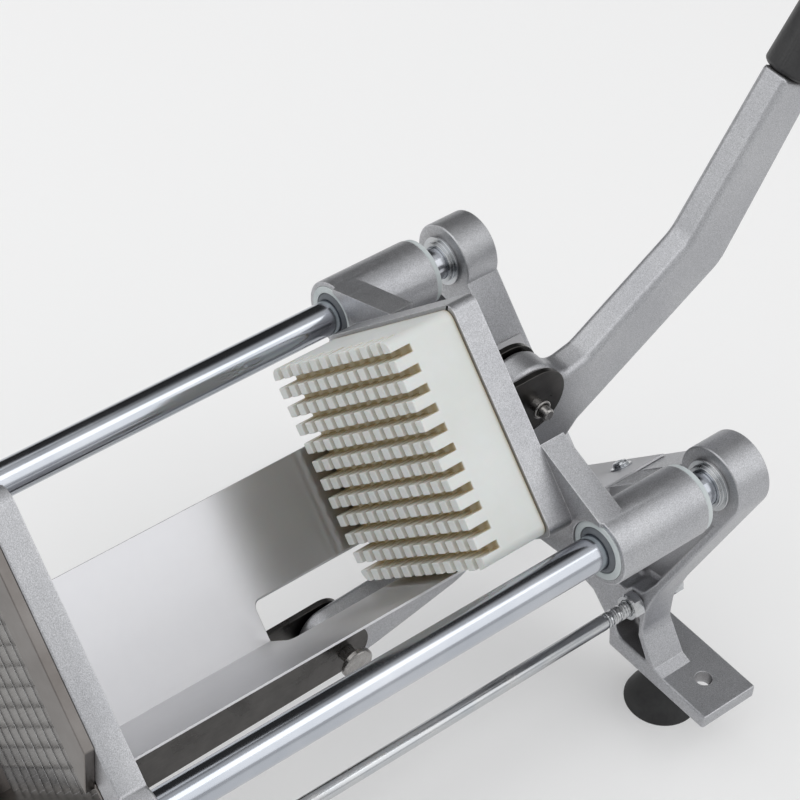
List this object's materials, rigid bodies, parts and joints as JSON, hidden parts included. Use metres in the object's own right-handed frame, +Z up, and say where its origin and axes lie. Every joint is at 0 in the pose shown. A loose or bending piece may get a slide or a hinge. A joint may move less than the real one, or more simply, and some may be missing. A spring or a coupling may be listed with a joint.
{
  "type": "french fry cutter",
  "caption": "Bench-top french fry cutter: a lever drives a finger block along guide rods and pushes a potato through a square blade grid.",
  "frame": {"origin": "on the bench under the middle of the whole cutter, with the lever raised", "axes": "+Z up, +Y from the blades towards the raised lever, +X to the right seen from the blades"},
  "size_m": [0.244, 0.5423, 0.4246],
  "materials": {
    "cast_aluminium": "satin blasted casting",
    "chrome_rod": "hard chrome, polished",
    "zinc_steel": "bright zinc",
    "pin_steel": "turned steel",
    "polished_steel": "mirror polished sheet",
    "blade_steel": "polished steel",
    "plate_steel": "dull polished plate",
    "white_nylon": "moulded nylon",
    "grey_nylon": "moulded nylon",
    "dark_rubber": "moulded rubber",
    "black_rubber": "soft moulded rubber",
    "black_grip": "moulded vinyl grip"
  },
  "bodies": {
    "root": {"front_frame": "cast_aluminium", "rear_frame": "cast_aluminium", "guide_rod_left": "chrome_rod", "guide_rod_right": "chrome_rod", "rod_end_screws": "zinc_steel", "rod_end_washers": "zinc_steel", "stop_ring_left": "pin_steel", "stop_ring_right": "pin_steel", "tie_rod_left": "zinc_steel", "tie_rod_right": "zinc_steel", "tie_rod_nuts": "zinc_steel", "v_trough": "polished_steel", "trough_screws": "zinc_steel", "trough_washers": "zinc_steel", "blade_cartridge": "blade_steel", "blade_strips_rising": "blade_steel", "blade_strips_falling": "blade_steel", "blade_thumb_screws": "pin_steel", "suction_foot_front_left": "black_rubber", "suction_foot_front_right": "black_rubber", "suction_foot_rear_left": "black_rubber", "suction_foot_rear_right": "black_rubber", "foot_studs": "zinc_steel", "link_anchor_screws": "zinc_steel"},
    "pusher": {"finger_block": "white_nylon", "pusher_carriage": "cast_aluminium", "block_screws": "zinc_steel", "front_bush_left": "grey_nylon", "front_bush_right": "grey_nylon", "rod_seal_left": "dark_rubber", "rod_seal_right": "dark_rubber", "rear_bush_left": "grey_nylon", "rear_bush_right": "grey_nylon", "clevis_plate_left": "plate_steel", "clevis_plate_right": "plate_steel", "clevis_screws": "zinc_steel", "upper_pivot_pin": "pin_steel", "upper_split_ring": "pin_steel"},
    "lever": {"handle_lever": "cast_aluminium", "handle_grip": "black_grip", "upper_handle_bush": "grey_nylon", "lower_handle_bush": "grey_nylon"},
    "links": {"link_plate_left": "plate_steel", "link_plate_right": "plate_steel", "lower_pivot_pin": "pin_steel", "lower_split_ring": "pin_steel", "link_spacer": "pin_steel", "link_axle": "pin_steel"}
  },
  "joints": [
    {"name": "pusher_slide", "type": "slide", "parent": "root", "child": "pusher", "axis": [0, -1, 0], "range_m": [0, 0.203]},
    {"name": "lever_pivot", "type": "hinge", "parent": "pusher", "child": "lever", "pos_m": [0, 0.04288, 0.187], "axis": [1, 0, 0], "range_deg": [0, 85.83]},
    {"name": "link_pivot", "type": "hinge", "parent": "lever", "child": "links", "pos_m": [0, -0.06412, 0.083], "axis": [1, 0, 0], "range_deg": [-89.62, 0]}
  ],
  "couplings": [
    {"joint": "lever_pivot", "follows": "pusher_slide", "rad_per_m": 7.3785},
    {"joint": "link_pivot", "follows": "pusher_slide", "rad_per_m": -7.7046}
  ]
}
